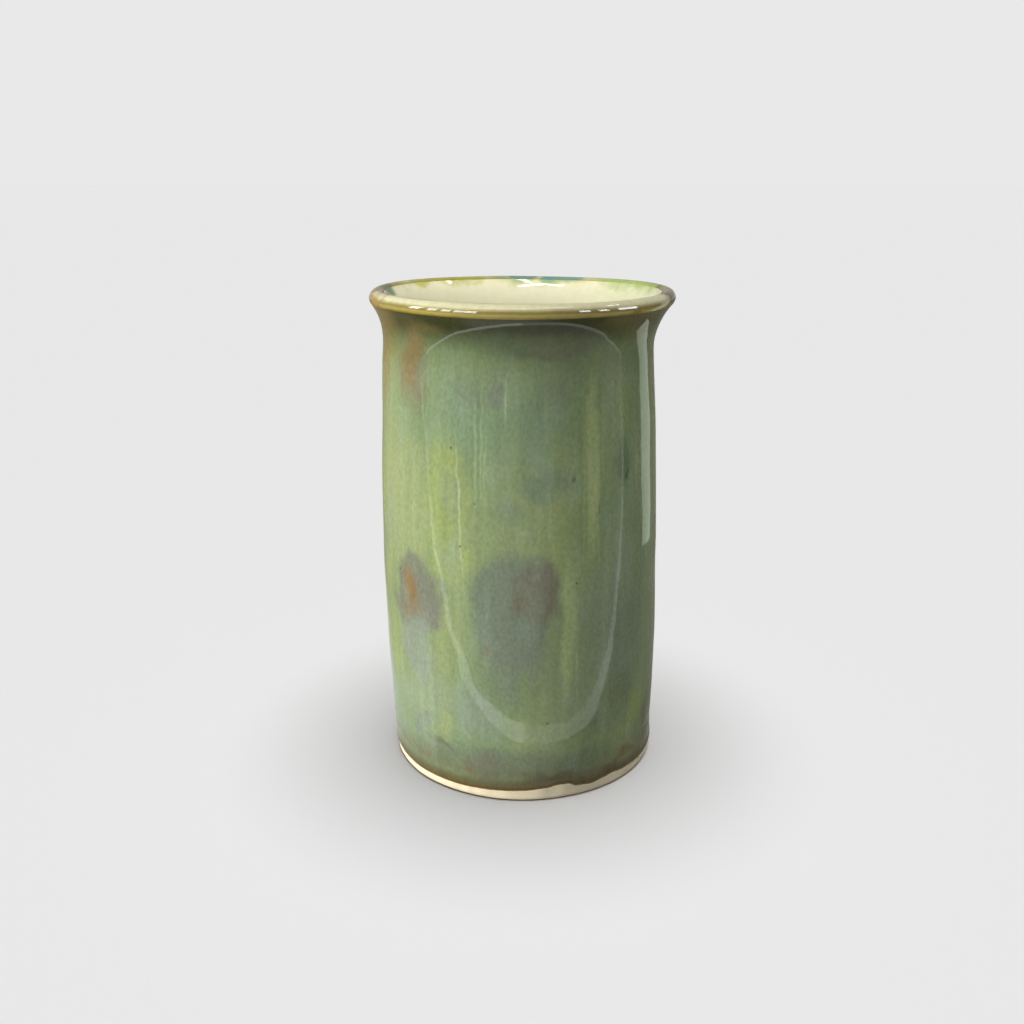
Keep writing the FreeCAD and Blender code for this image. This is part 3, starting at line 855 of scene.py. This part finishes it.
# %% Floor
FLOOR_SHADE, FLOOR_WIDTH = "#e6e6e6", 60
bpy.ops.object.select_all(action="DESELECT")
bpy.ops.mesh.primitive_plane_add(size=FLOOR_WIDTH, location=(0, 0, 0))
floor = bpy.context.object
floor.name = "floor"
paper = bpy.data.materials.new("matt_paper")
paper.use_nodes = True
paper.node_tree.nodes.clear()
matt = node(paper.node_tree, "BsdfDiffuse", {"Color": linear(FLOOR_SHADE)})
node(paper.node_tree, "OutputMaterial", {"Surface": matt})
floor.data.materials.append(paper)


# %% Three soft lights
def soft_sun(name, towards_light, strength, spread):
    """A light from one side of the sky, spread over some degrees. Reflections don't show it."""
    data = bpy.data.lights.new(name, "SUN")
    data.energy, data.angle = strength, math.radians(spread)
    light = bpy.data.objects.new(name, data)
    scene.collection.objects.link(light)
    light.rotation_euler = Vector(towards_light).to_track_quat("Z", "Y").to_euler()
    light.visible_glossy = False
    return light


soft_sun("overhead", (0, 0, 1), strength=3.08, spread=42)
low_left = soft_sun("low_left", (-0.95, -0.31, 0.05), strength=3.9, spread=20)
low_left.data.cycles.max_bounces = 0
into_the_well = soft_sun("into_the_well", (-0.2, -0.3, 0.93), strength=2.7, spread=110)

# %% What each light may fall on, and what may shade it
pot_side = bpy.data.collections.new("lit_from_low_left")
for left_out in (floor, cream_liner):
    pot_side.objects.link(left_out)
for linked in pot_side.collection_objects:
    linked.light_linking.link_state = "EXCLUDE"
low_left.light_linking.receiver_collection = pot_side
low_left.light_linking.blocker_collection = pot_side
well = bpy.data.collections.new("lit_from_above_the_well")
well.objects.link(cream_liner)
into_the_well.light_linking.receiver_collection = well

# %% Room light
world = bpy.data.worlds.new("studio")
scene.world = world
world.use_nodes = True
sky = world.node_tree
rays = node(sky, "LightPath", {}).node.outputs
dim = node(sky, "Background", {"Color": linear("#f4f7f8"), "Strength": 0.04})
ceiling = node(sky, "Background", {"Color": linear("#f4f7f8"), "Strength": 0.4})
backdrop = node(sky, "Background", {"Color": linear("#e9e9e9"), "Strength": 1.0})
mirrored = node(sky, "MixShader", {0: rays["Is Glossy Ray"], 1: dim, 2: ceiling})
shown = node(sky, "MixShader", {0: rays["Is Camera Ray"], 1: mirrored, 2: backdrop})
sky.links.new(shown, sky.nodes["World Output"].inputs["Surface"])


# %% Reflector cards
def card(name, corners, strength, colour="#ffffff"):
    """A glowing card that only reflections see: it lights nothing and casts no shadow."""
    bpy.ops.object.select_all(action="DESELECT")
    bpy.ops.mesh.primitive_plane_add(size=1, location=(0, 0, 0))
    made = bpy.context.object
    made.name = name
    for vertex, corner in zip(made.data.vertices, corners):
        vertex.co = corner
    material = bpy.data.materials.new(name)
    material.use_nodes = True
    material.node_tree.nodes.clear()
    glow = node(material.node_tree, "Emission", {"Color": linear(colour), "Strength": strength})
    node(material.node_tree, "OutputMaterial", {"Surface": glow})
    made.data.materials.append(material)
    made.visible_camera = made.visible_diffuse = made.visible_shadow = False
    return made


# %% [markdown]
# The pot stands near the front edge of a table. Its gloss mirrors that edge as a thin pale contour that
# hangs down the front like a U, with the dimmer room inside it. Further off the table falls away on
# every side, and the room is darkest on the right.

# %% Table edge and the room beyond it
TABLE_EDGE = (
    (-3.0, -0.20), (-0.6, -0.125), (-0.15, -0.104), (0.0, -0.084), (0.06, -0.068), (0.2, -0.052),
    (0.45, -0.01), (3.0, 0.1),
)
EDGE_WIDTH, EDGE_GLOW_LEFT, EDGE_GLOW_RIGHT, ROOM_GLOW = 0.012, 2.4, 1.25, 0.5
EDGE_LEVEL, ROOM_LEVEL, SIDE_LEVEL = 0.0008, 0.0006, 0.0005
ROOM_END, SIDE_START = 3, -0.2
for i, ((x0, y0), (x1, y1)) in enumerate(zip(TABLE_EDGE, TABLE_EDGE[1:])):
    near_side = [(x0, y0 + EDGE_WIDTH, EDGE_LEVEL), (x1, y1 + EDGE_WIDTH, EDGE_LEVEL)]
    edge_glow = EDGE_GLOW_LEFT if x1 <= 0 else EDGE_GLOW_RIGHT
    card(f"table_edge_{i}", [(x0, y0, EDGE_LEVEL), (x1, y1, EDGE_LEVEL), *near_side], edge_glow)
    table_line = [(x0, y0, ROOM_LEVEL), (x1, y1, ROOM_LEVEL)]
    room_line = [(x0, -ROOM_END, ROOM_LEVEL), (x1, -ROOM_END, ROOM_LEVEL)]
    card(f"room_beyond_{i}", [*room_line, *table_line], ROOM_GLOW)


def dim_side(name, far, fade_from, fade_to, strength, colour):
    """A card over one side of the table that comes in gently with distance from the pot."""
    sides = (min(0, far), max(0, far))
    corners = [(x, y, SIDE_LEVEL) for y in (SIDE_START, ROOM_END) for x in sides]
    tree = card(name, corners, strength, colour).active_material.node_tree
    out = next(n for n in tree.nodes if n.bl_idname == "ShaderNodeOutputMaterial")
    glow = out.inputs["Surface"].links[0].from_socket
    place = node(tree, "TexCoord", {}).node.outputs["Object"]
    across = node(tree, "SeparateXYZ", {0: place})
    reach = {"Value": across, "From Min": fade_from, "From Max": fade_to}
    solid = node(tree, "MapRange", reach, interpolation_type="SMOOTHSTEP")
    clear = node(tree, "BsdfTransparent", {})
    shown = node(tree, "MixShader", {0: solid, 1: clear, 2: glow})
    tree.links.new(shown, out.inputs["Surface"])


dim_side("room_right", ROOM_END, fade_from=0.0, fade_to=0.06, strength=0.28, colour="#dfdcc8")
dim_side("room_left", -ROOM_END, fade_from=-0.05, fade_to=-0.11, strength=0.34, colour="#efe9cf")


# %% Windows and ceiling lights
WINDOW_AWAY, WINDOW_GLOW, CEILING_GLOW, WINDOW_SHADE = 2.0, 15, 18, "#f2f6f8"


def window(name, around, up, wide, tall, strength):
    """A pane that faces the lip from some degrees round and some degrees up, sized in degrees."""
    around, up, reach = math.radians(around), math.radians(up), WINDOW_AWAY
    out = Vector((math.sin(around) * math.cos(up), -math.cos(around) * math.cos(up), math.sin(up)))
    side = Vector((math.cos(around), math.sin(around), 0)) * reach * math.radians(wide) / 2
    rise = side.cross(out).normalized() * reach * math.radians(tall) / 2
    rise = rise if rise.z > 0 else -rise
    centre = out * reach + Vector((0, 0, POT_HEIGHT * MM))
    lower, upper = centre - rise, centre + rise
    card(name, [lower - side, lower + side, upper - side, upper + side], strength, WINDOW_SHADE)


# degrees round, degrees up, degrees wide, degrees tall
LEFT_WINDOWS = tuple((around, 12, 9, 22) for around in (-36, -46, -58, -71, -86))
RIGHT_WINDOWS = ((44, 10, 9, 18), (60, 10, 9, 18), (82, 10, 18, 18), (96, 50, 9, 3), (108, 50, 9, 3))
for side, windows in (("left", LEFT_WINDOWS), ("right", RIGHT_WINDOWS)):
    for i, pane in enumerate(windows):
        window(f"{side}_window_{i}", *pane, WINDOW_GLOW)
window("ceiling_left", -25, 62, 30, 3, CEILING_GLOW)
window("ceiling_right", 30, 72, 34, 3, CEILING_GLOW)
print("windows", len(LEFT_WINDOWS) + len(RIGHT_WINDOWS))

# %% A tall pane low behind the pot on the right, mirrored as one upright streak
PANE_PLACE, PANE_RISE = Vector((0.212, 0.126, 0.0)), Vector((0.0, 0.0, 0.165))
PANE_HALF = Vector((-0.588, 0.809, 0.0)) * 0.037
PANE_GLOW, PANE_SHADE = 1.3, "#e8f2e2"
pane_foot = [PANE_PLACE - PANE_HALF, PANE_PLACE + PANE_HALF]
pane_head = [corner + PANE_RISE for corner in pane_foot]
card("tall_pane", pane_foot + pane_head, PANE_GLOW, PANE_SHADE)
